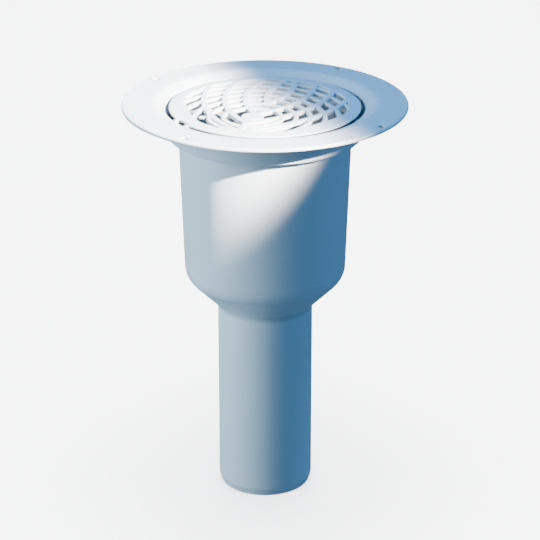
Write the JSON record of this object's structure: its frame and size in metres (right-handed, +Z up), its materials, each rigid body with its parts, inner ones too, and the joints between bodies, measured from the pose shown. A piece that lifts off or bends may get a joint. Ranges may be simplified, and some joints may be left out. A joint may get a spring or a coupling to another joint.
{
  "type": "floor drain",
  "caption": "Round moulded floor drain with a wide flange, a deep cup, a straight outlet pipe, a loose flat grille and a lift-out bell trap inside.",
  "frame": {"origin": "centre of the outlet pipe's lower end", "axes": "+Z up along the axis of the drain towards the grille, -Y towards the viewer in the picture"},
  "size_m": [0.22, 0.22, 0.3219],
  "materials": {
    "white_plastic": "satin",
    "grille_plastic": "satin",
    "trap_plastic": "satin",
    "seal_rubber": "matte"
  },
  "bodies": {
    "root": {"drain_body": "white_plastic", "grille": "grille_plastic", "trap_cup": "trap_plastic", "trap_bell": "trap_plastic", "trap_seal": "seal_rubber"}
  },
  "joints": []
}
